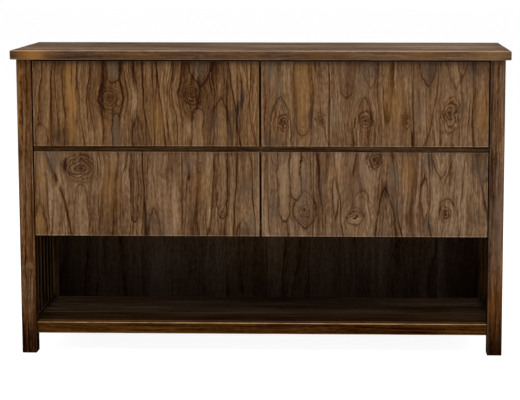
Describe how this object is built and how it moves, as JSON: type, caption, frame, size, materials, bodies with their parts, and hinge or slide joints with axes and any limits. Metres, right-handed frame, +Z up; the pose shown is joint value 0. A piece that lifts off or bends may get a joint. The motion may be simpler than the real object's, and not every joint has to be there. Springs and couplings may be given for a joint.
{
  "type": "lowboy",
  "caption": "Low dark wooden chest with flush, handle-less sliding drawers in rows over an open shelf, on square posts with slatted sides.",
  "frame": {"origin": "on the floor, under the middle of the top board", "axes": "+X to the right seen from the front, along the length; +Y to the back; +Z up"},
  "size_m": [1.5, 0.45, 0.93],
  "materials": {
    "teak_top": "dark-stained teak, satin lacquer",
    "teak_faces": "dark-stained teak with knots, satin lacquer",
    "teak_posts": "dark-stained teak, satin lacquer",
    "teak_frame": "dark-stained teak, satin lacquer",
    "teak_planks": "dark-stained teak planks, thin lacquer",
    "teak_shelf": "dark-stained teak, satin lacquer",
    "drawer_box_wood": "plain sealed wood",
    "plywood": "plain sealed plywood",
    "zinc_slides": "zinc-plated",
    "zinc_hardware": "zinc-plated"
  },
  "bodies": {
    "cabinet": {"back_planks": "teak_planks", "back_rail_bottom": "teak_frame", "back_rail_screws": "zinc_hardware", "back_rail_top": "teak_frame", "centre_partition": "teak_frame", "drawer_deck": "plywood", "front_rail_bottom": "teak_frame", "front_rail_middle": "teak_frame", "front_rail_top": "teak_frame", "inner_side_left": "teak_frame", "inner_side_right": "teak_frame", "post_back_left": "teak_posts", "post_back_right": "teak_posts", "post_front_left": "teak_posts", "post_front_right": "teak_posts", "shelf_battens": "teak_frame", "shelf_boards": "teak_shelf", "shelf_front_rail": "teak_shelf", "side_rail_bottom_left": "teak_frame", "side_rail_bottom_right": "teak_frame", "side_rail_top_left": "teak_frame", "side_rail_top_right": "teak_frame", "side_slats_left": "teak_frame", "side_slats_right": "teak_frame", "slide_case_members": "zinc_slides", "top_board": "teak_top", "top_brackets": "zinc_hardware"},
    "upper_left_drawer": {"upper_left_drawer_box_back": "drawer_box_wood", "upper_left_drawer_box_bottom": "plywood", "upper_left_drawer_box_front": "drawer_box_wood", "upper_left_drawer_box_side_inner": "drawer_box_wood", "upper_left_drawer_box_side_outer": "drawer_box_wood", "upper_left_drawer_face": "teak_faces", "upper_left_drawer_slide_inner": "zinc_slides"},
    "upper_left_drawer_slide_middle": {"upper_left_drawer_slide_middle": "zinc_slides"},
    "upper_right_drawer": {"upper_right_drawer_box_back": "drawer_box_wood", "upper_right_drawer_box_bottom": "plywood", "upper_right_drawer_box_front": "drawer_box_wood", "upper_right_drawer_box_side_inner": "drawer_box_wood", "upper_right_drawer_box_side_outer": "drawer_box_wood", "upper_right_drawer_face": "teak_faces", "upper_right_drawer_slide_inner": "zinc_slides"},
    "upper_right_drawer_slide_middle": {"upper_right_drawer_slide_middle": "zinc_slides"},
    "lower_left_drawer": {"lower_left_drawer_box_back": "drawer_box_wood", "lower_left_drawer_box_bottom": "plywood", "lower_left_drawer_box_front": "drawer_box_wood", "lower_left_drawer_box_side_inner": "drawer_box_wood", "lower_left_drawer_box_side_outer": "drawer_box_wood", "lower_left_drawer_face": "teak_faces", "lower_left_drawer_slide_inner": "zinc_slides"},
    "lower_left_drawer_slide_middle": {"lower_left_drawer_slide_middle": "zinc_slides"},
    "lower_right_drawer": {"lower_right_drawer_box_back": "drawer_box_wood", "lower_right_drawer_box_bottom": "plywood", "lower_right_drawer_box_front": "drawer_box_wood", "lower_right_drawer_box_side_inner": "drawer_box_wood", "lower_right_drawer_box_side_outer": "drawer_box_wood", "lower_right_drawer_face": "teak_faces", "lower_right_drawer_slide_inner": "zinc_slides"},
    "lower_right_drawer_slide_middle": {"lower_right_drawer_slide_middle": "zinc_slides"}
  },
  "joints": [
    {"name": "upper_left_drawer_pull", "type": "slide", "parent": "cabinet", "child": "upper_left_drawer", "axis": [0, -1, 0], "range_m": [0, 0.34]},
    {"name": "upper_left_drawer_middle_follow", "type": "slide", "parent": "cabinet", "child": "upper_left_drawer_slide_middle", "axis": [0, -1, 0], "range_m": [0, 0.17]},
    {"name": "upper_right_drawer_pull", "type": "slide", "parent": "cabinet", "child": "upper_right_drawer", "axis": [0, -1, 0], "range_m": [0, 0.34]},
    {"name": "upper_right_drawer_middle_follow", "type": "slide", "parent": "cabinet", "child": "upper_right_drawer_slide_middle", "axis": [0, -1, 0], "range_m": [0, 0.17]},
    {"name": "lower_left_drawer_pull", "type": "slide", "parent": "cabinet", "child": "lower_left_drawer", "axis": [0, -1, 0], "range_m": [0, 0.34]},
    {"name": "lower_left_drawer_middle_follow", "type": "slide", "parent": "cabinet", "child": "lower_left_drawer_slide_middle", "axis": [0, -1, 0], "range_m": [0, 0.17]},
    {"name": "lower_right_drawer_pull", "type": "slide", "parent": "cabinet", "child": "lower_right_drawer", "axis": [0, -1, 0], "range_m": [0, 0.34]},
    {"name": "lower_right_drawer_middle_follow", "type": "slide", "parent": "cabinet", "child": "lower_right_drawer_slide_middle", "axis": [0, -1, 0], "range_m": [0, 0.17]}
  ],
  "couplings": [
    {"joint": "upper_left_drawer_middle_follow", "follows": "upper_left_drawer_pull", "ratio": 0.5},
    {"joint": "upper_right_drawer_middle_follow", "follows": "upper_right_drawer_pull", "ratio": 0.5},
    {"joint": "lower_left_drawer_middle_follow", "follows": "lower_left_drawer_pull", "ratio": 0.5},
    {"joint": "lower_right_drawer_middle_follow", "follows": "lower_right_drawer_pull", "ratio": 0.5}
  ]
}
